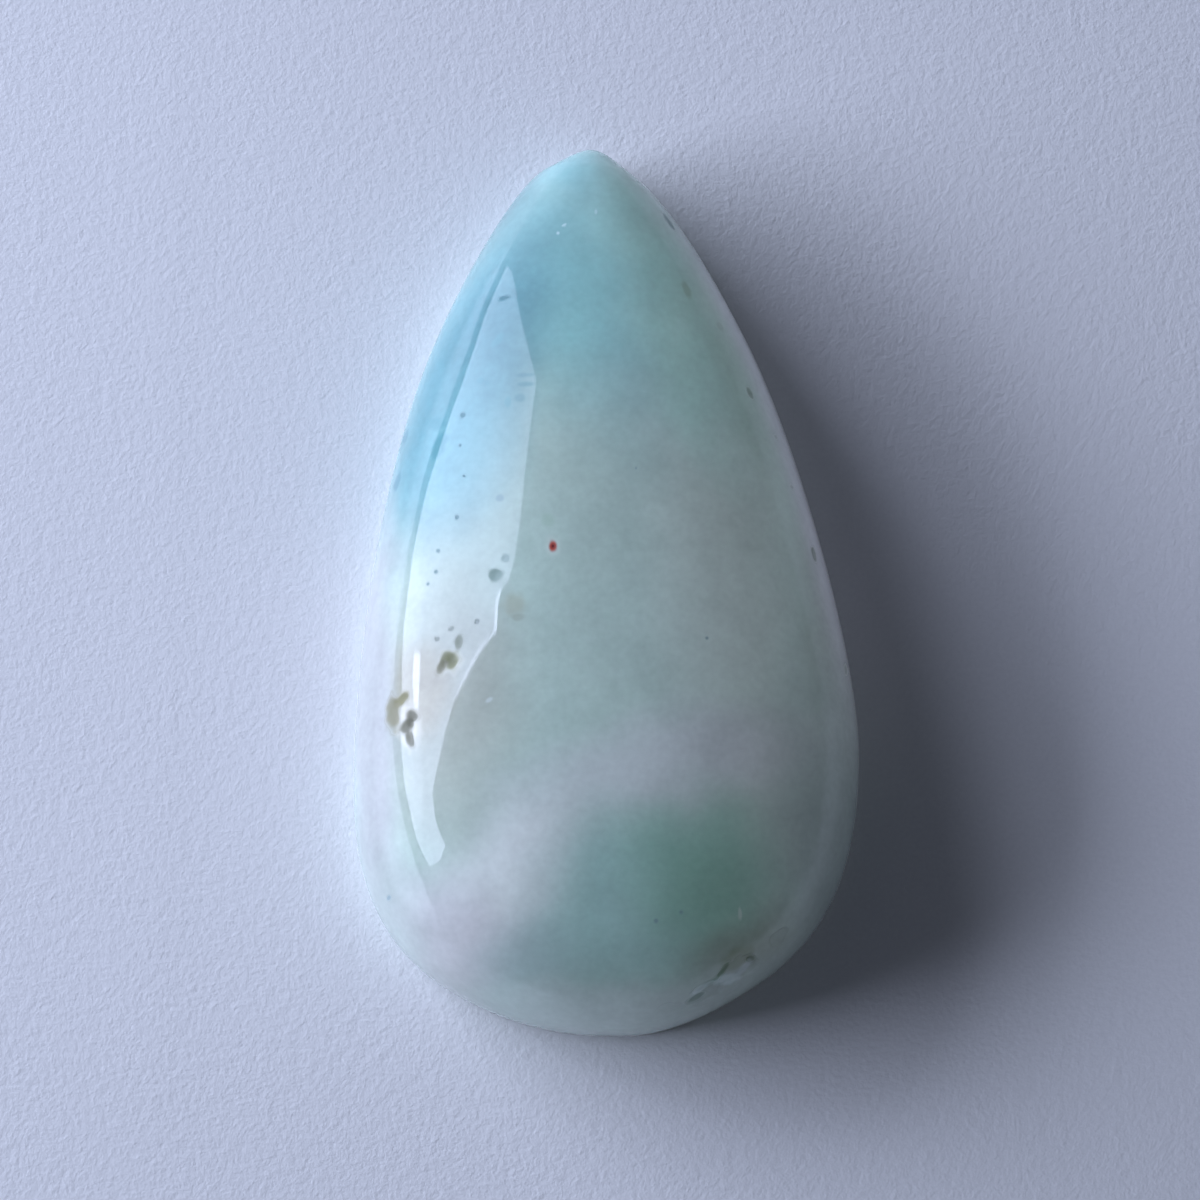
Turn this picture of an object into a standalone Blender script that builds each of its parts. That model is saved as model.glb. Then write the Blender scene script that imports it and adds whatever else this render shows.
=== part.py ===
"""A pear-shaped opal cabochon: a high polished dome on a low girdle wall, with a flat ground back.

The stone lies on its back. Its tip points along +Y, +Z is up, and the origin is the middle of the flat back.
"""

import math

import bmesh
import bpy
import numpy as np
from mathutils import Quaternion, Vector
from mathutils.geometry import interpolate_bezier

MM = 0.001

# Driving dimensions
WIDTH = 19.8 * MM
LENGTH = 35.4 * MM
THICKNESS = 7.4 * MM
GIRDLE_HEIGHT = 1.7 * MM  # where the stone is widest, above the back
BEVEL_HEIGHT = 0.4 * MM  # the softened edge between the wall and the back
WALL_LEAN = 0.12 * MM  # how far the foot of the wall stands inside the girdle
BACK_INSET = 0.40 * MM  # how far the edge of the flat back stands inside the girdle
BEVEL_KNEE = 0.1 * MM  # height of the one edge line inside the bevel, half way in

HALF_WIDTH = WIDTH / 2
HALF_LENGTH = LENGTH / 2
DOME_HEIGHT = THICKNESS - GIRDLE_HEIGHT

# Shape of the dome
SECTION_POWER = 2.3  # 2 makes each cross section half an ellipse, more makes it squarer
RIDGE_POWER_TIP = 0.52  # how fast the crest falls as the stone narrows towards the tip
RIDGE_POWER_FOOT = 0.80  # the same towards the round end
CENTRE_Y = -0.35 * HALF_LENGTH  # where the surface lines that run to the girdle start

# Fineness of the faceted surface
DOME_RINGS = 30
SHADE_ANGLE = math.radians(35)
SLOPE_STEP = 0.05 * MM
ON_PLANE = 1e-6

UP = Vector((0.0, 0.0, 1.0))

# The girdle outline seen from above, clockwise from the tip. Each knot has its place in half widths and half
# lengths, its heading in degrees, its two handle lengths in half widths, and the number of steps to the next.
OUTLINE = (
    ((-0.064, 1.000), 0, (0.062, 0.070), 4),
    ((0.099, 0.949), -38, (0.048, 0.205), 9),
    ((0.563, 0.561), -64, (0.347, 0.449), 14),
    ((1.000, -0.375), -90, (0.390, 0.503), 10),
    ((0.566, -0.899), -147.5, (0.335, 0.369), 6),
    ((0.000, -1.000), -180, (0.100, 0.330), 7),
    ((-0.616, -0.902), -211, (0.060, 0.242), 10),
    ((-1.000, -0.452), -270, (0.453, 0.438), 14),
    ((-0.762, 0.447), -288, (0.533, 0.402), 10),
    ((-0.267, 0.949), -333, (0.122, 0.042), 4),
)

# Hollows that reach the polished surface: place of the middle, size across, along and deep, turn in degrees.
HOLLOWS = {
    "pit_upper": ((-6.1 * MM, -3.6 * MM), (0.80 * MM, 0.85 * MM, 0.22 * MM), 20),
    "pit_lower": ((-7.6 * MM, -5.9 * MM), (0.60 * MM, 1.10 * MM, 0.24 * MM), 12),
    "chip": ((4.8 * MM, -15.5 * MM), (2.60 * MM, 0.95 * MM, 0.20 * MM), 32),
}


def heading(degrees):
    return Vector((math.cos(math.radians(degrees)), math.sin(math.radians(degrees)), 0.0))


def girdle_outline():
    """The points of the girdle as an array of x and y, closed, clockwise from the tip."""
    points = []
    for index, (place, angle, handles, steps) in enumerate(OUTLINE):
        next_place, next_angle, next_handles, _ = OUTLINE[(index + 1) % len(OUTLINE)]
        start = Vector((place[0] * HALF_WIDTH, place[1] * HALF_LENGTH, 0.0))
        end = Vector((next_place[0] * HALF_WIDTH, next_place[1] * HALF_LENGTH, 0.0))
        leaving = start + heading(angle) * handles[1] * HALF_WIDTH
        arriving = end - heading(next_angle) * next_handles[0] * HALF_WIDTH
        points += interpolate_bezier(start, leaving, arriving, end, steps + 1)[:-1]
    return np.array([(point.x, point.y) for point in points])


class Dome:
    """The height of the polished surface over any place inside the girdle."""

    def __init__(self, outline):
        foot = int(np.argmin(outline[:, 1]))
        self.right = outline[: foot + 1][::-1]
        self.left = np.vstack([outline[foot:], outline[:1]])
        self.widest_y = float(outline[np.argmax(outline[:, 0]), 1])

    def sides(self, y):
        return np.interp(y, self.left[:, 1], self.left[:, 0]), np.interp(y, self.right[:, 1], self.right[:, 0])

    def height(self, x, y):
        left, right = self.sides(y)
        half = np.maximum((right - left) / 2, ON_PLANE * MM)
        across = np.clip(np.abs(x - (left + right) / 2) / half, 0.0, 1.0)
        power = np.where(y > self.widest_y, RIDGE_POWER_TIP, RIDGE_POWER_FOOT)
        crest = DOME_HEIGHT * (half / HALF_WIDTH) ** power
        return GIRDLE_HEIGHT + crest * np.sqrt(1.0 - across**SECTION_POWER)


def clear_scene():
    for old in list(bpy.data.objects):
        bpy.data.objects.remove(old)


def collection_named(name):
    made = bpy.data.collections.new(name)
    bpy.context.scene.collection.children.link(made)
    return made


def opal_material():
    material = bpy.data.materials.new("polished_opal")
    material.use_nodes = True
    shader = material.node_tree.nodes["Principled BSDF"]
    shader.inputs["Base Color"].default_value = (0.24, 0.36, 0.37, 1.0)
    shader.inputs["Roughness"].default_value = 0.08
    shader.inputs["Metallic"].default_value = 0.0
    return material


def raise_dome(mesh, outline, dome):
    """Turns the upper half of a unit sphere into the dome: its equator becomes the girdle."""
    columns = len(outline)
    centre = np.array((0.0, CENTRE_Y))
    for vertex in mesh.verts:
        reach = math.hypot(vertex.co.x, vertex.co.y)
        turn = math.atan2(vertex.co.y, vertex.co.x) / math.tau
        column = round(-turn * columns) % columns
        x, y = centre + (outline[column] - centre) * min(reach, 1.0)
        on_girdle = vertex.co.z < ON_PLANE
        z = GIRDLE_HEIGHT if on_girdle else float(dome.height(x, y))
        vertex.co = (x, y, z)


def lower_rim(mesh, rim, inset, z):
    """Extrudes the open rim downwards to height z and draws it in by inset. Gives the new rim."""
    grown = bmesh.ops.extrude_edge_only(mesh, edges=rim)["geom"]
    for vertex in [item for item in grown if isinstance(item, bmesh.types.BMVert)]:
        vertex.co.z = z
        vertex.co.x *= 1.0 - inset / HALF_WIDTH
        vertex.co.y *= 1.0 - inset / HALF_LENGTH
    return [item for item in grown if isinstance(item, bmesh.types.BMEdge) and item.is_boundary]


def stone_mesh(outline, dome):
    mesh = bmesh.new()
    bmesh.ops.create_uvsphere(mesh, u_segments=len(outline), v_segments=2 * DOME_RINGS, radius=1.0)
    bmesh.ops.delete(mesh, geom=[vertex for vertex in mesh.verts if vertex.co.z < -ON_PLANE], context="VERTS")
    raise_dome(mesh, outline, dome)
    rim = [edge for edge in mesh.edges if edge.is_boundary]
    rim = lower_rim(mesh, rim, WALL_LEAN, BEVEL_HEIGHT)
    rim = lower_rim(mesh, rim, (BACK_INSET - WALL_LEAN) / 2, BEVEL_KNEE)
    rim = lower_rim(mesh, rim, (BACK_INSET - WALL_LEAN) / 2, 0.0)
    bmesh.ops.contextual_create(mesh, geom=rim)
    bmesh.ops.recalc_face_normals(mesh, faces=mesh.faces)
    data = bpy.data.meshes.new("opal")
    mesh.to_mesh(data)
    mesh.free()
    data.shade_smooth()
    data.set_sharp_from_angle(angle=SHADE_ANGLE)
    return data


def surface_normal(dome, x, y):
    """The outward normal of the dome over a place."""
    rise_x = dome.height(x + SLOPE_STEP, y) - dome.height(x - SLOPE_STEP, y)
    rise_y = dome.height(x, y + SLOPE_STEP) - dome.height(x, y - SLOPE_STEP)
    return Vector((-rise_x, -rise_y, 2 * SLOPE_STEP)).normalized()


def hollow_cutter(name, place, size, turn, dome, collection):
    """A flattened ball, its middle on the dome, that cuts one shallow hollow."""
    across, along, deep = size
    mesh = bmesh.new()
    bmesh.ops.create_icosphere(mesh, subdivisions=3, radius=1.0)
    bmesh.ops.scale(mesh, vec=(across / 2, along / 2, deep), verts=mesh.verts)
    data = bpy.data.meshes.new(name)
    mesh.to_mesh(data)
    mesh.free()
    cutter = bpy.data.objects.new(name, data)
    x, y = place
    cutter.location = (x, y, float(dome.height(x, y)))
    tilt = UP.rotation_difference(surface_normal(dome, x, y))
    cutter.rotation_euler = (tilt @ Quaternion(UP, math.radians(turn))).to_euler()
    cutter.hide_render = True
    cutter.display_type = "WIRE"
    collection.objects.link(cutter)
    return cutter


def main():
    clear_scene()
    parts = collection_named("opal_cabochon")
    cutters = collection_named("cutters")
    outline = girdle_outline()
    dome = Dome(outline)
    stone = bpy.data.objects.new("opal", stone_mesh(outline, dome))
    stone.data.materials.append(opal_material())
    parts.objects.link(stone)
    for name, (place, size, turn) in HOLLOWS.items():
        cut = stone.modifiers.new(name, "BOOLEAN")
        cut.operation = "DIFFERENCE"
        cut.solver = "EXACT"
        cut.object = hollow_cutter(name, place, size, turn, dome, cutters)


if __name__ == "__main__":
    main()
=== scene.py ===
"""The looks of a pear-shaped opal cabochon: its polished surface, milky colours, pits and chips.

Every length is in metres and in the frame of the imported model. Places on the stone that come from the
photograph are given as its pixels, and the camera's own rays carry them onto the stone.
"""

import math

import bmesh
import bpy
import numpy as np
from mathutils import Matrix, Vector, noise
from mathutils.geometry import interpolate_bezier


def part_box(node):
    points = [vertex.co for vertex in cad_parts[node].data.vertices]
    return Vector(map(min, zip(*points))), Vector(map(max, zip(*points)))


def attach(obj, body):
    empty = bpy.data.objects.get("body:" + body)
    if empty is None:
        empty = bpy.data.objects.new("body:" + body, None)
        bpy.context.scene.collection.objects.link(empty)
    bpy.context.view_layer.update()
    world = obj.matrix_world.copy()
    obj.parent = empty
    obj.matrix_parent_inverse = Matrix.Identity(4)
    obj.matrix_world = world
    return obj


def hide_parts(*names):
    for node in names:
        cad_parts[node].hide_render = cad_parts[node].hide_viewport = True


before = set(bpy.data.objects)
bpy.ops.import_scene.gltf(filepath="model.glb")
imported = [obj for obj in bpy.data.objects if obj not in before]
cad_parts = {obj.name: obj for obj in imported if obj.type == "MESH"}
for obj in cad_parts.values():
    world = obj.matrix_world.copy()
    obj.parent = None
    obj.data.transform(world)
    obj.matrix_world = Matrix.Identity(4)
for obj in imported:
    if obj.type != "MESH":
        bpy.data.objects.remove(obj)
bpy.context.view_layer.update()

MM = 0.001

# The camera: it looks down on the stone from a little towards its round end
PHOTO_PIXELS = 1200
PIXELS_PER_MM = 25.4
CAMERA_ELEVATION = math.radians(78)
CAMERA_DISTANCE = 220 * MM
CAMERA_TARGET = Vector((-0.246, -0.421, 1.4)) * MM
CLIP_START = 1 * MM
SENSOR = 36.0
SEARCH_ABOVE = 12 * MM  # where the search for the stone along a ray starts, before the target's distance
SEARCH_BELOW = 4 * MM  # and where it ends, behind it
SEARCH_STEPS = 4000

# The stone's size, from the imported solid
BOX_LOW, BOX_HIGH = (Vector(corner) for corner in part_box("opal"))
SKIN = 0.02 * MM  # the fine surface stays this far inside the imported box
HALF_WIDTH = (BOX_HIGH.x - BOX_LOW.x) / 2 - SKIN
HALF_LENGTH = (BOX_HIGH.y - BOX_LOW.y) / 2 - SKIN
THICKNESS = BOX_HIGH.z - BOX_LOW.z - SKIN
GIRDLE_HEIGHT = 1.7 * MM
BEVEL_HEIGHT = 0.4 * MM
WALL_LEAN = 0.12 * MM
WALL_POWER = 1.5  # 1 makes the wall straight, more curves it in towards its foot
BACK_INSET = 0.40 * MM
DOME_HEIGHT = THICKNESS - GIRDLE_HEIGHT
SECTION_POWER = 2.3
RIDGE_POWER_TIP = 0.52
RIDGE_POWER_FOOT = 0.80
CENTRE_Y = -0.35 * HALF_LENGTH
SMALLEST_HALF = 1e-9  # keeps the width at the very tip above zero
SLOPE_STEP = 0.05 * MM

# The girdle outline, clockwise from the tip: place in half widths and half lengths, heading in degrees, the
# two handle lengths in half widths, and the number of coarse steps to the next knot.
OUTLINE = (
    ((-0.064, 1.000), 0, (0.062, 0.070), 4),
    ((0.099, 0.949), -38, (0.048, 0.205), 9),
    ((0.563, 0.561), -64, (0.347, 0.449), 14),
    ((1.000, -0.375), -90, (0.390, 0.503), 10),
    ((0.566, -0.899), -147.5, (0.335, 0.369), 6),
    ((0.000, -1.000), -180, (0.100, 0.330), 7),
    ((-0.616, -0.902), -211, (0.060, 0.242), 10),
    ((-1.000, -0.452), -270, (0.453, 0.438), 14),
    ((-0.762, 0.447), -288, (0.533, 0.402), 10),
    ((-0.267, 0.949), -333, (0.122, 0.042), 4),
)

# Fineness of the surface
FINE_STEPS = 5  # fine columns for each coarse step of the outline
DOME_RINGS = 120
WALL_RINGS = 8
BACK_RINGS = 3

# The window's mirror image on the dome: its lower edge and its wavy upper edge, as pixels of the photograph
WINDOW_LOWER_EDGE = (
    (506, 268), (487, 311), (475, 347), (463, 382), (450, 418), (438, 453), (427, 489), (419, 524),
    (413, 553), (409, 585), (403, 630), (402, 682), (401, 727), (403, 768), (411, 813), (420, 847),
    (430, 866),
)
WINDOW_UPPER_EDGE = (
    (441, 862), (446, 845), (436, 820), (433, 790), (440, 755), (447, 727), (453, 705), (461, 688),
    (475, 666), (487, 649), (496, 639), (498, 605), (501, 591), (508, 582), (513, 560), (519, 520),
    (524, 480), (530, 430), (537, 380), (530, 350), (517, 300),
)
# The bright sill below the window: its mirror image ends at a thin dark line beside the window's lower edge
SILL_TOP_EDGE = (
    (499, 270), (481, 311), (469, 347), (456, 382), (444, 418), (431, 453), (420, 489), (412, 524),
    (407, 553), (402, 585), (396, 630), (394, 682), (392, 727), (395, 768), (402, 813), (411, 847),
    (424, 884), (446, 930),
)
# The brighter strip along the window's lower edge, and the brightest spot in it
STRIP_EDGE = (
    (413, 560), (409, 585), (403, 630), (404, 682), (402, 727), (404, 768), (411, 813), (416, 832),
    (424, 820), (422, 768), (421, 727), (420, 682), (421, 630), (424, 585), (426, 560),
)
GLINT_EDGE = ((414, 655), (413, 680), (415, 706), (419, 706), (420, 680), (420, 655))
# The thin bright line at the kink of the upper edge
RIM_EDGE = (
    (453, 705), (461, 688), (475, 666), (487, 649), (496, 639), (498, 605), (501, 591), (498, 590),
    (495, 604), (493, 637), (485, 647), (473, 664), (460, 687),
)

WINDOW_DISTANCE = 225 * MM
WINDOW_RADIANCE = ((110 * MM, 7.1), (250 * MM, 4.4))  # place along the window and radiance there
STRIP_RADIANCE = 8.4
GLINT_RADIANCE = 20.0
RIM_RADIANCE = 15.0
PANEL_GAP = 4 * MM
SILL_DISTANCE = 17 * MM
SILL_FOOT = 0.2 * MM
SILL_RADIANCE = ((0.5 * MM, 0.6), (4.5 * MM, 3.2))  # height on the sill and radiance there
LIGHT_COLOUR = (0.68, 0.755, 1.0)

# Soft lights without a mirror image: place in mm, size in mm, power in watts, colour, and whether only the
# stone gets it. The last two stand for the light that has crossed the stone and comes back from the paper.
THROUGH_COLOUR = (0.80, 0.80, 1.0)
SOFT_LIGHTS = {
    "window_light": ((-300, 20, 110), (240, 100), 1.34, LIGHT_COLOUR, False),
    "low_light": ((-300, 255, 45), (220, 40), 1.62, LIGHT_COLOUR, False),
    "high_light": ((-300, 225, 190), (200, 120), 0.74, LIGHT_COLOUR, False),
    "side_glow": ((150, 60, 80), (120, 120), 0.12, THROUGH_COLOUR, True),
    "foot_glow": ((40, -160, 80), (120, 120), 0.06, THROUGH_COLOUR, True),
}
WORLD_RADIANCE = 0.070


def heading(degrees):
    return Vector((math.cos(math.radians(degrees)), math.sin(math.radians(degrees)), 0.0))


def girdle_outline():
    """The points of the girdle as an array of x and y, closed, clockwise from the tip."""
    points = []
    for index, (place, angle, handles, steps) in enumerate(OUTLINE):
        next_place, next_angle, next_handles, _ = OUTLINE[(index + 1) % len(OUTLINE)]
        start = Vector((place[0] * HALF_WIDTH, place[1] * HALF_LENGTH, 0.0))
        end = Vector((next_place[0] * HALF_WIDTH, next_place[1] * HALF_LENGTH, 0.0))
        leaving = start + heading(angle) * handles[1] * HALF_WIDTH
        arriving = end - heading(next_angle) * next_handles[0] * HALF_WIDTH
        points += interpolate_bezier(start, leaving, arriving, end, steps * FINE_STEPS + 1)[:-1]
    return np.array([(point.x, point.y) for point in points])


class Dome:
    """The height of the smooth polished surface over any place inside the girdle."""

    def __init__(self, outline):
        foot = int(np.argmin(outline[:, 1]))
        self.right = outline[: foot + 1][::-1]
        self.left = np.vstack([outline[foot:], outline[:1]])
        self.widest_y = float(outline[np.argmax(outline[:, 0]), 1])

    def sides(self, y):
        left = np.interp(y, self.left[:, 1], self.left[:, 0])
        right = np.interp(y, self.right[:, 1], self.right[:, 0])
        return left, right

    def height(self, x, y):
        left, right = self.sides(y)
        half = np.maximum((right - left) / 2, SMALLEST_HALF)
        across = np.clip(np.abs(x - (left + right) / 2) / half, 0.0, 1.0)
        power = np.where(y > self.widest_y, RIDGE_POWER_TIP, RIDGE_POWER_FOOT)
        crest = DOME_HEIGHT * (half / HALF_WIDTH) ** power
        return GIRDLE_HEIGHT + crest * np.sqrt(1.0 - across**SECTION_POWER)

    def normal(self, x, y):
        rise_x = self.height(x + SLOPE_STEP, y) - self.height(x - SLOPE_STEP, y)
        rise_y = self.height(x, y + SLOPE_STEP) - self.height(x, y - SLOPE_STEP)
        return Vector((-rise_x, -rise_y, 2 * SLOPE_STEP)).normalized()


class PhotoCamera:
    """The place and the rays of the camera that took the photograph."""

    def __init__(self):
        self.forward = Vector((0.0, math.cos(CAMERA_ELEVATION), -math.sin(CAMERA_ELEVATION)))
        self.up = Vector((0.0, math.sin(CAMERA_ELEVATION), math.cos(CAMERA_ELEVATION)))
        self.right = Vector((1.0, 0.0, 0.0))
        self.place = CAMERA_TARGET - self.forward * CAMERA_DISTANCE

    def ray(self, pixel):
        per_metre = PIXELS_PER_MM / MM
        across = (pixel[0] - PHOTO_PIXELS / 2) / per_metre
        down = (pixel[1] - PHOTO_PIXELS / 2) / per_metre
        return (self.forward * CAMERA_DISTANCE + self.right * across - self.up * down).normalized()

    def on_stone(self, pixel, dome):
        """The point of the smooth dome that a pixel of the photograph shows."""
        ray = self.ray(pixel)
        reach = np.linspace(CAMERA_DISTANCE - SEARCH_ABOVE, CAMERA_DISTANCE + SEARCH_BELOW, SEARCH_STEPS)
        points = np.array(self.place) + reach[:, None] * np.array(ray)
        under = points[:, 2] < dome.height(points[:, 0], points[:, 1])
        return Vector(points[int(np.argmax(under))])

    def mirrored(self, pixel, dome):
        """The point on the dome and the direction in which the dome mirrors the pixel's ray."""
        point = self.on_stone(pixel, dome)
        ray = self.ray(pixel)
        normal = dome.normal(point.x, point.y)
        return point, ray - 2 * ray.dot(normal) * normal


def add_camera(view):
    data = bpy.data.cameras.new("camera")
    data.sensor_width = SENSOR
    data.lens = SENSOR * CAMERA_DISTANCE / (PHOTO_PIXELS / PIXELS_PER_MM * MM)
    data.clip_start = CLIP_START
    camera = bpy.data.objects.new("camera", data)
    camera.location = view.place
    camera.rotation_euler = view.forward.to_track_quat("-Z", "Y").to_euler()
    bpy.context.scene.collection.objects.link(camera)
    bpy.context.scene.camera = camera


def mesh_object(name, points, faces):
    data = bpy.data.meshes.new(name)
    data.from_pydata(points, [], faces)
    data.validate()
    made = bpy.data.objects.new(name, data)
    bpy.context.scene.collection.objects.link(made)
    return made


class Graph:
    """A short way to add shader nodes and join them."""

    def __init__(self, name):
        self.material = bpy.data.materials.new(name)
        self.material.use_nodes = True
        self.tree = self.material.node_tree
        self.shader = self.tree.nodes["Principled BSDF"]
        self.place = self.node("ShaderNodeTexCoord").outputs["Object"]

    def node(self, kind, inputs=None, **settings):
        made = self.tree.nodes.new(kind)
        for name, value in settings.items():
            setattr(made, name, value)
        for name, value in (inputs or {}).items():
            self.put(made.inputs[name], value)
        return made

    def put(self, socket, value):
        if isinstance(value, bpy.types.NodeSocket):
            self.tree.links.new(value, socket)
        else:
            socket.default_value = value

    def math(self, operation, *values):
        return self.node("ShaderNodeMath", dict(enumerate(values)), operation=operation).outputs[0]

    def noise(self, place, scale, detail=2.0, roughness=0.5):
        inputs = {"Vector": place, "Scale": scale, "Detail": detail, "Roughness": roughness}
        return self.node("ShaderNodeTexNoise", inputs)

    def warped(self, scale, amount, detail=2.0):
        """The object's coordinates, stirred by noise of a scale per metre by an amount in metres."""
        colour = self.noise(self.place, scale, detail).outputs["Color"]
        centred = self.node("ShaderNodeVectorMath", {0: colour, 1: (0.5, 0.5, 0.5)}, operation="SUBTRACT")
        moved = self.node(
            "ShaderNodeVectorMath",
            {0: centred.outputs[0], 1: (amount, amount, amount), 2: self.place},
            operation="MULTIPLY_ADD",
        )
        return moved.outputs[0]

    def blob(self, place, centre, radii, turn, softness):
        """A mask that is 1 inside an ellipsoid and falls to 0 over its soft edge."""
        rotation = (0.0, 0.0, math.radians(turn))
        inputs = {"Vector": place, "Location": centre, "Rotation": rotation, "Scale": radii}
        local = self.node("ShaderNodeMapping", inputs, vector_type="TEXTURE").outputs[0]
        distance = self.node("ShaderNodeVectorMath", {0: local}, operation="LENGTH").outputs["Value"]
        inputs = {"Value": distance, "From Min": 1 + softness, "From Max": 1 - softness}
        return self.node("ShaderNodeMapRange", inputs, interpolation_type="SMOOTHSTEP").outputs["Result"]

    def mix(self, factor, first, second):
        made = self.node("ShaderNodeMix", data_type="RGBA")
        self.put(made.inputs[0], factor)
        self.put(made.inputs[6], first)
        self.put(made.inputs[7], second)
        return made.outputs[2]


def stone_points(outline, dome):
    """Rings of points from the crown over the girdle to the middle of the back, one array for each ring."""
    centre = np.array((0.0, CENTRE_Y))
    rings = []
    for index in range(1, DOME_RINGS + 1):
        share = math.sin(index / DOME_RINGS * math.pi / 2)
        flat = centre + (outline - centre) * share
        z = dome.height(flat[:, 0], flat[:, 1]) if index < DOME_RINGS else np.full(len(flat), GIRDLE_HEIGHT)
        rings.append(np.column_stack([flat, z]))

    def inset_ring(inset, z):
        shrink = np.array((1 - inset / HALF_WIDTH, 1 - inset / HALF_LENGTH))
        return np.column_stack([outline * shrink, np.full(len(outline), z)])

    for index in range(1, WALL_RINGS // 2 + 1):
        share = index / (WALL_RINGS // 2)
        z = GIRDLE_HEIGHT + (BEVEL_HEIGHT - GIRDLE_HEIGHT) * share
        rings.append(inset_ring(WALL_LEAN * share**WALL_POWER, z))
    for index in range(1, WALL_RINGS // 2 + 1):
        turn = index / (WALL_RINGS // 2) * math.pi / 2
        inset = WALL_LEAN + (BACK_INSET - WALL_LEAN) * (1 - math.cos(turn))
        rings.append(inset_ring(inset, BEVEL_HEIGHT * (1 - math.sin(turn))))
    back = rings[-1]
    for index in range(1, BACK_RINGS):
        share = 1 - index / BACK_RINGS
        rings.append(np.column_stack([centre + (back[:, :2] - centre) * share, back[:, 2]]))
    return rings


POLISH_WAVES = ((5.0 * MM, 0.010 * MM), (2.2 * MM, 0.002 * MM))  # wavelength and height

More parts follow.
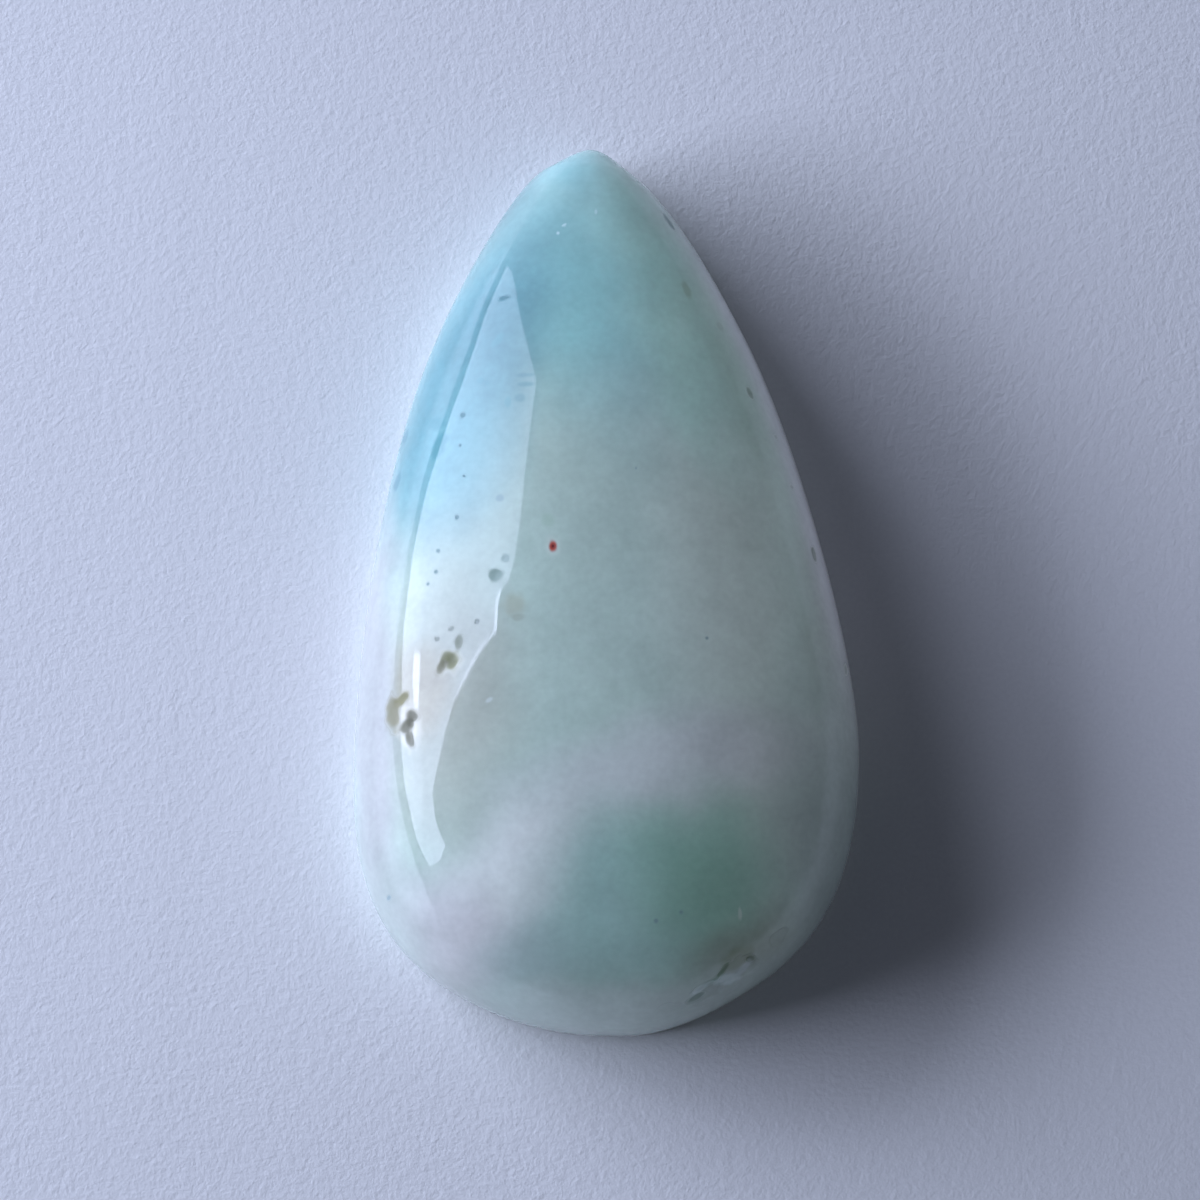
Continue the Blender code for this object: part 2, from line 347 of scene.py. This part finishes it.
# Marks on the surface: name, pixel of the middle, half size across and along in mm, turn, depth in mm,
# colour, and how much of the colour shows. A mark with a depth is a matte hollow.
MARKS = (
    ("pit_upper_ring", (450, 661), (0.46, 0.44), 25, 0.0, (0.62, 0.62, 0.52), 0.5),
    ("pit_upper", (450, 660), (0.36, 0.37), 25, 0.15, (0.27, 0.28, 0.18), 0.95),
    ("pit_upper_tail", (442, 666), (0.18, 0.29), -40, 0.07, (0.27, 0.27, 0.20), 0.9),
    ("pit_satellite", (459, 642), (0.16, 0.32), -12, 0.05, (0.30, 0.33, 0.27), 0.75),
    ("speck_satellite_1", (451, 629), (0.13, 0.10), 30, 0.02, (0.30, 0.33, 0.30), 0.6),
    ("speck_satellite_2", (437, 639), (0.11, 0.11), 0, 0.02, (0.30, 0.33, 0.30), 0.6),
    ("speck_satellite_3", (477, 622), (0.10, 0.10), 0, 0.02, (0.34, 0.38, 0.38), 0.5),
    ("pit_lower_ring", (407, 727), (0.46, 0.84), 14, 0.0, (0.66, 0.64, 0.55), 0.5),
    ("pit_lower_head", (412, 717), (0.25, 0.28), 20, 0.12, (0.22, 0.22, 0.17), 0.9),
    ("pit_lower_neck", (410, 723), (0.17, 0.24), 30, 0.10, (0.22, 0.22, 0.17), 0.9),
    ("pit_lower_body", (406, 727), (0.25, 0.29), -20, 0.12, (0.22, 0.22, 0.17), 0.9),
    ("pit_lower_tail", (410, 738), (0.15, 0.40), 20, 0.08, (0.23, 0.23, 0.18), 0.85),
    ("stain_arm", (401, 700), (0.20, 0.36), -50, 0.04, (0.22, 0.21, 0.11), 0.85),
    ("stain", (393, 714), (0.27, 0.70), 4, 0.04, (0.22, 0.21, 0.13), 0.85),
    ("round_pit", (495, 575), (0.26, 0.26), 0, 0.05, (0.27, 0.36, 0.32), 0.8),
    ("faint_pit", (505, 558), (0.16, 0.16), 0, 0.02, (0.36, 0.46, 0.46), 0.4),
    ("tan_patch", (515, 604), (0.40, 0.42), 0, 0.0, (0.36, 0.36, 0.25), 0.35),
    ("tan_patch_low", (518, 617), (0.24, 0.14), 0, 0.0, (0.30, 0.33, 0.27), 0.5),
    ("red_halo", (553, 546), (0.32, 0.36), 0, 0.0, (0.56, 0.64, 0.57), 0.5),
    ("red_dot", (553, 546), (0.17, 0.21), 0, 0.0, (0.40, 0.05, 0.03), 0.95),
    ("red_dot_core", (553, 546), (0.07, 0.09), 0, 0.02, (0.12, 0.01, 0.01), 0.9),
    ("green_spot", (548, 520), (0.26, 0.26), 0, 0.0, (0.26, 0.40, 0.28), 0.25),
    ("streak_upper", (524, 375), (0.34, 0.08), 0, 0.0, (0.15, 0.31, 0.32), 0.5),
    ("streak_middle", (525, 384), (0.30, 0.09), 0, 0.0, (0.15, 0.31, 0.31), 0.6),
    ("streak_lower", (520, 398), (0.22, 0.17), 0, 0.0, (0.15, 0.30, 0.31), 0.5),
    ("window_pit", (504, 298), (0.20, 0.09), 4, 0.02, (0.10, 0.20, 0.22), 0.7),
    ("window_spot", (500, 498), (0.16, 0.14), 0, 0.0, (0.20, 0.30, 0.33), 0.5),
    ("window_smudge_1", (497, 341), (0.16, 0.34), -40, 0.0, (0.16, 0.36, 0.38), 0.4),
    ("window_smudge_2", (481, 381), (0.16, 0.12), 0, 0.0, (0.14, 0.32, 0.34), 0.5),
    ("window_smudge_3", (487, 383), (0.12, 0.12), 0, 0.0, (0.14, 0.32, 0.34), 0.4),
    ("window_smudge_4", (508, 402), (0.12, 0.22), 0, 0.0, (0.16, 0.36, 0.38), 0.4),
    ("line_stain_upper", (437, 424), (0.34, 0.26), -20, 0.0, (0.10, 0.26, 0.28), 0.4),
    ("line_stain_lower", (439, 446), (0.24, 0.60), -18, 0.0, (0.08, 0.24, 0.26), 0.5),
    ("left_nick_upper", (405, 437), (0.11, 0.26), -16, 0.0, (0.10, 0.20, 0.23), 0.6),
    ("left_nick_lower", (397, 482), (0.13, 0.36), -14, 0.0, (0.10, 0.20, 0.23), 0.6),
    ("edge_slit", (669, 222), (0.10, 0.44), 32, 0.04, (0.16, 0.22, 0.22), 0.7),
    ("shoulder_spot_upper", (687, 290), (0.14, 0.34), 20, 0.0, (0.24, 0.32, 0.22), 0.45),
    ("shoulder_spot_lower", (720, 326), (0.12, 0.20), 20, 0.0, (0.24, 0.31, 0.24), 0.4),
    ("rim_pit_upper", (750, 393), (0.11, 0.28), 24, 0.03, (0.20, 0.26, 0.21), 0.6),
    ("rim_pit_middle", (776, 437), (0.09, 0.12), 10, 0.02, (0.20, 0.25, 0.21), 0.5),
    ("rim_pit_speck", (792, 487), (0.09, 0.10), 0, 0.02, (0.20, 0.25, 0.21), 0.5),
    ("rim_pit_long", (814, 554), (0.10, 0.34), 8, 0.04, (0.15, 0.19, 0.15), 0.7),
    ("rim_pit_low", (846, 670), (0.08, 0.24), 5, 0.03, (0.16, 0.20, 0.16), 0.6),
    ("chip_stain", (738, 958), (0.62, 0.34), 30, 0.0, (0.16, 0.20, 0.13), 0.5),
    ("chip_hole", (751, 960), (0.20, 0.10), 30, 0.07, (0.10, 0.14, 0.08), 0.8),
    ("chip_crack", (724, 969), (0.11, 0.38), -38, 0.06, (0.12, 0.18, 0.12), 0.75),
    ("chip_crack_low", (707, 985), (0.10, 0.62), -58, 0.06, (0.13, 0.22, 0.16), 0.75),
    ("chip_crack_rim", (697, 998), (0.09, 0.34), -62, 0.05, (0.14, 0.22, 0.18), 0.6),
    ("flake_light", (727, 980), (0.46, 0.13), 16, 0.0, (0.44, 0.55, 0.53), 0.5),
    ("flake_light_rim", (745, 968), (0.44, 0.10), 44, 0.0, (0.36, 0.43, 0.43), 0.45),
    ("flake_light_low", (702, 989), (0.52, 0.09), 34, 0.0, (0.48, 0.58, 0.56), 0.6),
    ("light_fleck", (740, 913), (0.07, 0.22), 6, 0.0, (0.50, 0.58, 0.52), 0.6),
    ("pale_fleck_1", (564, 225), (0.10, 0.05), 30, 0.0, (0.60, 0.72, 0.72), 0.6),
    ("pale_fleck_2", (558, 233), (0.06, 0.06), 0, 0.0, (0.60, 0.72, 0.72), 0.6),
    ("pale_fleck_3", (596, 212), (0.05, 0.10), 0, 0.0, (0.60, 0.72, 0.72), 0.5),
    ("pale_fleck_4", (489, 700), (0.14, 0.08), 30, 0.0, (0.58, 0.66, 0.64), 0.5),
)

# Small dark specks: pixel and half size in mm
SPECKS = (
    ((463, 415), 0.13), ((457, 517), 0.10), ((464, 476), 0.06), ((436, 572), 0.08),
    ((428, 584), 0.08), ((460, 445), 0.07), ((438, 551), 0.08), ((389, 898), 0.09),
    ((681, 912), 0.08), ((656, 921), 0.09), ((707, 638), 0.06), ((636, 468), 0.05),
)
SPECK_DEPTH = 0.02
SPECK_COLOUR = (0.16, 0.25, 0.27)
SPECK_STRENGTH = 0.6
RAGGED_SIZE = 0.30 * MM  # how coarse the ragged edges of the marks are
RAGGED_SHARE = 0.28  # how far they leave the ellipse
MARK_SOFTNESS = 0.4  # how much of a mark's radius its colour takes to fade, to each side
HOLLOW_POWER = 1.5  # 0.5 makes each hollow half a ball, more rounds its rim
LOWEST_MARK = GIRDLE_HEIGHT / 2  # marks stop here on the wall

# Chips along the lower right rim: pixel, half size in mm, turn and depth in mm
FLAKES = (
    ((738, 968), (0.95, 0.34), 32, 0.055),
    ((704, 993), (0.85, 0.24), 24, 0.06),
    ((778, 938), (0.50, 0.22), 48, 0.035),
    ((668, 1008), (0.55, 0.16), 14, 0.03),
)
FLAKE_WALL = 0.25  # how much of a chip's radius its steep edge takes
FLAKE_ROUGHNESS = (0.35 * MM, 0.012 * MM)  # wavelength and height of the chips' rough floors

FINE_CUTS = 3  # cuts of each edge of the mesh where there are marks
FINE_MARGIN = 0.10  # how far the finer mesh reaches past a mark, in mm


def all_marks():
    small = [(pixel, (size, size), 0, SPECK_DEPTH, SPECK_COLOUR, SPECK_STRENGTH) for pixel, size in SPECKS]
    return [mark[1:] for mark in MARKS] + small


def reach_in(points, middle, half_size, turn):
    """How far points lie from the middle of an upright elliptic column, in its own radii."""
    angle = math.radians(turn)
    x, y = points[:, 0] - middle.x, points[:, 1] - middle.y
    across = (x * math.cos(angle) + y * math.sin(angle)) / (half_size[0] * MM)
    along = (y * math.cos(angle) - x * math.sin(angle)) / (half_size[1] * MM)
    return np.hypot(across, along)


def noise_at(points, wavelength):
    return np.array([noise.noise(Vector(point) / wavelength) for point in points])


def upper_side(points, normals):
    return (points[:, 2] > LOWEST_MARK) & (normals[:, 2] > 0.0)


def smooth_step(share):
    """Limits a share to between 0 and 1 and eases it at both ends."""
    share = np.clip(share, 0, 1)
    return share**2 * (3 - 2 * share)


def relief(points, normals, view, dome):
    """How far the real surface stands off the smooth stone at each point."""
    off = np.zeros(len(points))
    for wavelength, height in POLISH_WAVES:
        off += height * noise_at(points, wavelength)
    off *= np.clip(points[:, 2] / BEVEL_HEIGHT, 0, 1)  # the back is ground flat
    upper = upper_side(points, normals)
    ragged = 1 + RAGGED_SHARE * noise_at(points, RAGGED_SIZE)
    for pixel, half_size, turn, depth, _, _ in all_marks():
        if depth:
            reach = reach_in(points, view.on_stone(pixel, dome), half_size, turn) * ragged
            off -= np.where(upper, depth * MM * np.clip(1 - reach**2, 0, 1) ** HOLLOW_POWER, 0.0)
    rough = FLAKE_ROUGHNESS[1] * noise_at(points, FLAKE_ROUGHNESS[0])
    for pixel, half_size, turn, depth in FLAKES:
        reach = reach_in(points, view.on_stone(pixel, dome), half_size, turn) * ragged
        off -= np.where(upper, (depth * MM + rough) * smooth_step((1 - reach) / FLAKE_WALL), 0.0)
    return off


def smooth_stone(outline, dome):
    """The smooth stone as one closed mesh, made of rings of points."""
    rings = np.array(stone_points(outline, dome))
    columns = len(outline)
    points = [tuple(point) for ring in rings for point in ring]
    crown = len(points)
    points.append((0.0, CENTRE_Y, float(dome.height(0.0, CENTRE_Y))))
    points.append((0.0, CENTRE_Y, 0.0))
    faces = []
    for column in range(columns):
        after = (column + 1) % columns
        faces.append((crown, after, column))
        last = (len(rings) - 1) * columns
        faces.append((crown + 1, last + column, last + after))
        for ring in range(len(rings) - 1):
            here = ring * columns
            below = here + columns
            faces.append((here + column, here + after, below + after, below + column))
    return mesh_object("opal_stone", points, faces)


def refine_marks(mesh, view, dome):
    """Cuts the faces under the marks and chips into finer ones."""
    corners = np.array([vertex.co for vertex in mesh.verts])
    near = np.zeros(len(corners), bool)
    zones = [mark[:3] for mark in all_marks()] + [flake[:3] for flake in FLAKES]
    for pixel, half_size, turn in zones:
        reach = (half_size[0] + FINE_MARGIN, half_size[1] + FINE_MARGIN)
        near |= reach_in(corners, view.on_stone(pixel, dome), reach, turn) < 1 + RAGGED_SHARE
    near &= corners[:, 2] > LOWEST_MARK
    mesh.verts.ensure_lookup_table()
    edges = {edge for index in np.nonzero(near)[0] for edge in mesh.verts[index].link_edges}
    bmesh.ops.subdivide_edges(mesh, edges=list(edges), cuts=FINE_CUTS, use_grid_fill=True)


def mark_coat(points, upper, view, dome):
    """The marks' colour at each point, with its strength as the fourth value, and how matte the point is."""
    coat = np.zeros((len(points), 4))
    matte = np.zeros(len(points))
    ragged = 1 + RAGGED_SHARE * noise_at(points, RAGGED_SIZE)
    for pixel, half_size, turn, depth, tint, strength in all_marks():
        reach = reach_in(points, view.on_stone(pixel, dome), half_size, turn) * ragged
        mask = smooth_step((1 + MARK_SOFTNESS - reach) / (2 * MARK_SOFTNESS)) * upper
        share = (mask * strength)[:, None]
        coat = coat * (1 - share) + np.array(tint + (1.0,)) * share
        if depth:
            matte = np.maximum(matte, mask)
    return coat, matte


def stone_piece(outline, dome, view):
    piece = smooth_stone(outline, dome)
    mesh = bmesh.new()
    mesh.from_mesh(piece.data)
    refine_marks(mesh, view, dome)
    mesh.normal_update()
    points = np.array([vertex.co for vertex in mesh.verts])
    normals = np.array([vertex.normal for vertex in mesh.verts])
    moved = points + normals * relief(points, normals, view, dome)[:, None]
    for vertex, place in zip(mesh.verts, moved):
        vertex.co = place
    bmesh.ops.triangulate(mesh, faces=[face for face in mesh.faces if len(face.verts) > 4])
    mesh.to_mesh(piece.data)
    mesh.free()
    piece.data.shade_smooth()
    coat, matte = mark_coat(points, upper_side(points, normals), view, dome)
    piece.data.color_attributes.new("marks", "FLOAT_COLOR", "POINT").data.foreach_set("color", coat.ravel())
    piece.data.attributes.new("matte", "FLOAT", "POINT").data.foreach_set("value", matte)
    return piece


BASE_COLOUR = (0.42, 0.53, 0.46)

# Soft colour clouds: name, pixel of the middle, half size across, along and deep in mm, turn, softness,
# colour and strength. Each lies over the ones before it. The last five are painted shade on the rim.
CLOUDS = (
    ("pale_right", (716, 600), (2.1, 8.0, 6.0), 6, 0.8, (0.54, 0.63, 0.55), 0.75),
    ("teal_wash", (625, 290), (4.0, 5.4, 6.0), 10, 0.7, (0.33, 0.50, 0.46), 0.9),
    ("mint_shoulder", (672, 325), (1.5, 4.8, 6.0), 22, 0.7, (0.45, 0.67, 0.57), 0.85),
    ("teal_shoulder", (570, 292), (2.6, 3.8, 5.0), 5, 0.8, (0.27, 0.50, 0.47), 0.85),
    ("blue_flank", (457, 378), (2.6, 7.2, 6.0), -24, 0.6, (0.14, 0.28, 0.30), 0.96),
    ("tip_edge", (508, 208), (1.3, 4.4, 4.0), -40, 0.8, (0.14, 0.24, 0.24), 0.88),
    ("tip_point", (582, 172), (1.1, 1.3, 4.0), 0, 0.8, (0.22, 0.40, 0.40), 0.7),
    ("cyan_fade", (470, 443), (1.8, 3.4, 5.0), -14, 0.7, (0.21, 0.41, 0.42), 0.65),
    ("grey_left", (445, 700), (2.7, 5.2, 6.0), 2, 0.7, (0.38, 0.41, 0.35), 0.9),
    ("warm_stain", (422, 690), (1.0, 1.6, 4.0), 20, 0.6, (0.36, 0.31, 0.22), 0.5),
    ("left_wall", (369, 705), (1.2, 9.6, 4.0), 2, 0.6, (0.38, 0.38, 0.37), 0.85),
    ("milky_left", (504, 888), (2.1, 4.5, 5.0), -40, 0.55, (0.59, 0.63, 0.59), 0.95),
    ("lavender_band", (676, 762), (5.4, 1.6, 6.0), 12, 0.7, (0.51, 0.56, 0.53), 0.9),
    ("left_foot", (408, 898), (1.0, 1.6, 4.0), 30, 0.7, (0.37, 0.42, 0.38), 0.7),
    ("lower_left", (446, 942), (2.0, 2.2, 5.0), 30, 0.6, (0.53, 0.53, 0.52), 0.8),
    ("teal_tail", (540, 955), (2.6, 1.5, 5.0), 22, 0.7, (0.37, 0.48, 0.45), 0.8),
    ("teal_cloud", (640, 912), (3.5, 3.4, 5.0), -30, 0.55, (0.34, 0.51, 0.45), 0.92),
    ("green_cloud", (706, 875), (2.3, 2.6, 5.0), 20, 0.8, (0.25, 0.43, 0.33), 0.92),
    ("pale_foot", (600, 1012), (5.0, 0.8, 3.0), 0, 0.6, (0.47, 0.56, 0.52), 0.8),
    ("upper_rim", (738, 360), (1.0, 6.4, 5.0), 22, 0.8, (0.31, 0.44, 0.35), 0.7),
    # Painted shade: the last five clouds darken the right and lower right rim, where little light reaches
    # and shadowed paper is mirrored; the olive hue of the first is the stone's own
    ("olive_rim_and_painted_shade", (848, 600), (1.8, 7.6, 5.0), 6, 0.7, (0.21, 0.25, 0.20), 0.85),
    ("painted_shade_right_rim", (846, 880), (2.5, 5.2, 5.0), -24, 0.9, (0.14, 0.18, 0.17), 0.95),
    ("painted_shade_grey_rim", (832, 786), (2.2, 4.8, 5.0), 0, 0.8, (0.20, 0.24, 0.22), 0.5),
    ("painted_shade_foot_rim", (742, 984), (3.0, 1.1, 4.0), 38, 0.8, (0.20, 0.24, 0.22), 0.6),
    ("painted_shade_by_chip", (736, 944), (1.7, 0.9, 3.0), 34, 0.8, (0.19, 0.22, 0.17), 0.6),
)
# Painted glow: a paler band low on the upper right flank, where light comes through the thin edge: its cloud
# and heights
EDGE_GLOW_BAND = ((800, 450), (4.0, 11.0, 8.0), 18, 0.5, (0.54, 0.57, 0.58), 0.75)
EDGE_GLOW_TOP = 4.7 * MM
EDGE_GLOW_FULL = 3.3 * MM
STIR_SCALE = 220.0  # per metre
STIR_AMOUNT = 2.4 * MM
MOTTLE = ((240.0, 0.06), (900.0, 0.045), (3600.0, 0.04))  # scale per metre and strength of the mottling
MOTTLE_ROUGHNESS = 0.55
NOISE_SPAN = (0.25, 0.75)  # the noise levels that darken and lighten the colour fully

POLISH_ROUGHNESS = 0.035
PIT_ROUGHNESS = 0.75
GROUND_ROUGHNESS = 0.55
BACK_COLOUR = (0.46, 0.54, 0.48)
OPAL_IOR = 1.46
SCATTER_LENGTH = 3.5 * MM  # how far light spreads under the surface, alike for all colours


def mottled(graph, colour):
    """The colour, lightened and darkened by faint clouds."""
    shade = 1.0
    for scale, strength in MOTTLE:
        level = graph.noise(graph.place, scale, roughness=MOTTLE_ROUGHNESS).outputs["Fac"]
        inputs = {"Value": level, "From Min": NOISE_SPAN[0], "From Max": NOISE_SPAN[1]}
        inputs |= {"To Min": 1 - strength, "To Max": 1 + strength}
        factor = graph.node("ShaderNodeMapRange", inputs, clamp=False).outputs["Result"]
        shade = graph.math("MULTIPLY", factor, shade)
    return graph.node("ShaderNodeVectorMath", {0: colour, 3: shade}, operation="SCALE").outputs[0]


def cloud_mask(graph, place, middle, size, turn, softness, strength):
    mask = graph.blob(place, middle, Vector(size) * MM, turn, softness)
    return graph.math("MULTIPLY", mask, strength)


def cloudy_colour(graph, height, view, dome):
    """The milky colour inside the stone: the clouds, the painted glow of the pale low band, and the
    mottling.
    """
    stirred = graph.warped(STIR_SCALE, STIR_AMOUNT)
    colour = BASE_COLOUR + (1.0,)
    for _, pixel, size, turn, softness, tint, strength in CLOUDS:
        mask = cloud_mask(graph, stirred, view.on_stone(pixel, dome), size, turn, softness, strength)
        colour = graph.mix(mask, colour, tint + (1.0,))
    # Painted glow: the pale low band lightens the colour where light comes through the thin right edge
    pixel, size, turn, softness, tint, strength = EDGE_GLOW_BAND
    mask = cloud_mask(graph, stirred, view.on_stone(pixel, dome), size, turn, softness, strength)
    inputs = {"Value": height, "From Min": EDGE_GLOW_TOP, "From Max": EDGE_GLOW_FULL}
    low = graph.node("ShaderNodeMapRange", inputs, interpolation_type="SMOOTHSTEP").outputs["Result"]
    colour = graph.mix(graph.math("MULTIPLY", mask, low), colour, tint + (1.0,))
    return mottled(graph, colour)


def with_marks(graph, colour):
    """The colour under the marks' colours, which the mesh carries."""
    marks = graph.node("ShaderNodeAttribute", attribute_name="marks")
    clear = graph.math("SUBTRACT", 1.0, marks.outputs["Alpha"])
    colour = graph.node("ShaderNodeVectorMath", {0: colour, 3: clear}, operation="SCALE").outputs[0]
    inputs = {0: colour, 1: marks.outputs["Color"]}
    return graph.node("ShaderNodeVectorMath", inputs, operation="ADD").outputs[0]


def surface_roughness(graph, ground):
    """Glossy on the polished dome, matte in the hollows and on the ground back."""
    matte = graph.node("ShaderNodeAttribute", attribute_name="matte").outputs["Fac"]
    inputs = {"Value": matte, "To Min": POLISH_ROUGHNESS, "To Max": PIT_ROUGHNESS}
    polished = graph.node("ShaderNodeMapRange", inputs).outputs["Result"]
    inputs = {"Value": ground, "To Min": polished, "To Max": GROUND_ROUGHNESS}
    return graph.node("ShaderNodeMapRange", inputs).outputs["Result"]


def opal_material(view, dome):
    graph = Graph("milky_opal")
    shader = graph.shader
    height = graph.node("ShaderNodeSeparateXYZ", {"Vector": graph.place}).outputs["Z"]
    inputs = {"Value": height, "From Min": BEVEL_HEIGHT, "From Max": BEVEL_HEIGHT / 2}
    ground = graph.node("ShaderNodeMapRange", inputs).outputs["Result"]
    colour = with_marks(graph, cloudy_colour(graph, height, view, dome))
    graph.put(shader.inputs["Base Color"], graph.mix(ground, colour, BACK_COLOUR + (1.0,)))
    graph.put(shader.inputs["Roughness"], surface_roughness(graph, ground))
    shader.inputs["IOR"].default_value = OPAL_IOR
    shader.inputs["Subsurface Weight"].default_value = 1.0
    shader.inputs["Subsurface Radius"].default_value = (1.0, 1.0, 1.0)
    shader.inputs["Subsurface Scale"].default_value = SCATTER_LENGTH
    return graph.material


PAPER_TOOTH = ((2300.0, 0.028 * MM), (5600.0, 0.022 * MM))  # scale per metre and height of the paper's tooth
PAPER_DARK = (0.75, 0.75, 0.755)
PAPER_PALE = (0.85, 0.85, 0.85)
PAPER_GRAIN = 0.6  # how rough the tooth's noise is
PAPER_BUMP = 0.6
PAPER_ROUGHNESS = 0.9
FLOOR_HALF = 600 * MM


def paper_material():
    graph = Graph("pale_paper")
    height = 0.0
    for scale, tooth in PAPER_TOOTH:
        level = graph.noise(graph.place, scale, roughness=PAPER_GRAIN).outputs["Fac"]
        height = graph.math("MULTIPLY_ADD", level, tooth, height)
    graph.put(graph.shader.inputs["Base Color"], graph.mix(level, PAPER_DARK + (1.0,), PAPER_PALE + (1.0,)))
    graph.shader.inputs["Roughness"].default_value = PAPER_ROUGHNESS
    bump = graph.node("ShaderNodeBump", {"Strength": PAPER_BUMP, "Distance": 1.0, "Height": height})
    graph.put(graph.shader.inputs["Normal"], bump.outputs["Normal"])
    return graph.material


def add_floor():
    corners = [(x * FLOOR_HALF, y * FLOOR_HALF, 0) for x, y in ((-1, -1), (1, -1), (1, 1), (-1, 1))]
    floor = mesh_object("floor", corners, [(0, 1, 2, 3)])
    floor.data.materials.append(paper_material())


def mirrored_points(pixels, distance, view, dome):
    """Where the mirror image of an edge comes from, in an upright plane to the left of the stone."""
    found = []
    for pixel in pixels:
        point, direction = view.mirrored(pixel, dome)
        reach = (-distance - point.x) / direction.x
        found.append(point + direction * reach)
    return found


def add_bright_panel(name, points, axis, radiance, fade=None):
    """A glowing panel that is seen only in the stone's gloss. Its radiance changes along an axis.

    With a fade, it is dark at the first Y of the pair and bright from the second on.
    """
    panel = mesh_object(name, points, [tuple(range(len(points)))])
    graph = Graph(name + "_light")
    axes = graph.node("ShaderNodeSeparateXYZ", {"Vector": graph.place}).outputs
    (first_place, first), (last_place, last) = radiance
    inputs = {"Value": axes[axis], "From Min": first_place, "From Max": last_place}
    inputs |= {"To Min": first, "To Max": last}
    strength = graph.node("ShaderNodeMapRange", inputs, interpolation_type="SMOOTHSTEP").outputs["Result"]
    if fade:
        inputs = {"Value": axes["Y"], "From Min": fade[0], "From Max": fade[1]}
        share = graph.node("ShaderNodeMapRange", inputs, interpolation_type="SMOOTHSTEP").outputs["Result"]
        strength = graph.math("MULTIPLY", strength, share)
    graph.shader.inputs["Base Color"].default_value = (0.0, 0.0, 0.0, 1.0)
    graph.shader.inputs["Specular IOR Level"].default_value = 0.0
    graph.shader.inputs["Emission Color"].default_value = LIGHT_COLOUR + (1.0,)
    graph.put(graph.shader.inputs["Emission Strength"], strength)
    panel.data.materials.append(graph.material)
    panel.visible_camera = False
    panel.visible_diffuse = False
    panel.visible_shadow = False


def even(radiance):
    """The same radiance all along a panel."""
    return (0.0, radiance), (1.0, radiance)


def add_panels(view, dome):
    window = mirrored_points(WINDOW_LOWER_EDGE + WINDOW_UPPER_EDGE, WINDOW_DISTANCE, view, dome)
    add_bright_panel("window_panel", window, "Y", WINDOW_RADIANCE)
    strip = mirrored_points(STRIP_EDGE, WINDOW_DISTANCE - PANEL_GAP, view, dome)
    add_bright_panel("window_strip", strip, "Y", even(STRIP_RADIANCE))
    glint = mirrored_points(GLINT_EDGE, WINDOW_DISTANCE - 2 * PANEL_GAP, view, dome)
    add_bright_panel("window_glint", glint, "Y", even(GLINT_RADIANCE))
    rim = mirrored_points(RIM_EDGE, WINDOW_DISTANCE - PANEL_GAP, view, dome)
    add_bright_panel("window_rim", rim, "Y", even(RIM_RADIANCE))
    top = mirrored_points(SILL_TOP_EDGE, SILL_DISTANCE, view, dome)
    foot = [Vector((-SILL_DISTANCE, point.y, SILL_FOOT)) for point in reversed(top)]
    add_bright_panel("window_sill", top + foot, "Z", SILL_RADIANCE, fade=(top[-1].y, top[-2].y))


def add_soft_light(name, place, size, power, colour):
    """A soft rectangular light that faces the stone and leaves no mirror image."""
    data = bpy.data.lights.new(name, "AREA")
    data.shape = "RECTANGLE"
    data.size, data.size_y = Vector(size) * MM
    data.energy = power
    data.color = colour
    light = bpy.data.objects.new(name, data)
    light.location = Vector(place) * MM
    light.rotation_euler = (-light.location).to_track_quat("-Z", "Y").to_euler()
    light.visible_glossy = False
    light.visible_camera = False
    bpy.context.scene.collection.objects.link(light)
    return light


def add_lights(view, dome, stone):
    add_panels(view, dome)
    only_stone = bpy.data.collections.new("only_stone")
    only_stone.objects.link(stone)
    for name, (place, size, power, colour, for_stone) in SOFT_LIGHTS.items():
        light = add_soft_light(name, place, size, power, colour)
        if for_stone:
            light.light_linking.receiver_collection = only_stone


def add_room():
    """The even light that comes from all around."""
    world = bpy.data.worlds.new("room")
    world.use_nodes = True
    background = world.node_tree.nodes["Background"]
    background.inputs["Color"].default_value = LIGHT_COLOUR + (1.0,)
    background.inputs["Strength"].default_value = WORLD_RADIANCE
    bpy.context.scene.world = world


def main():
    bpy.context.scene.view_settings.view_transform = "Standard"
    view = PhotoCamera()
    add_camera(view)
    outline = girdle_outline()
    dome = Dome(outline)
    stone = stone_piece(outline, dome, view)
    stone.data.materials.append(opal_material(view, dome))
    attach(stone, "root")
    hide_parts("opal")
    add_floor()
    add_lights(view, dome, stone)
    add_room()


main()
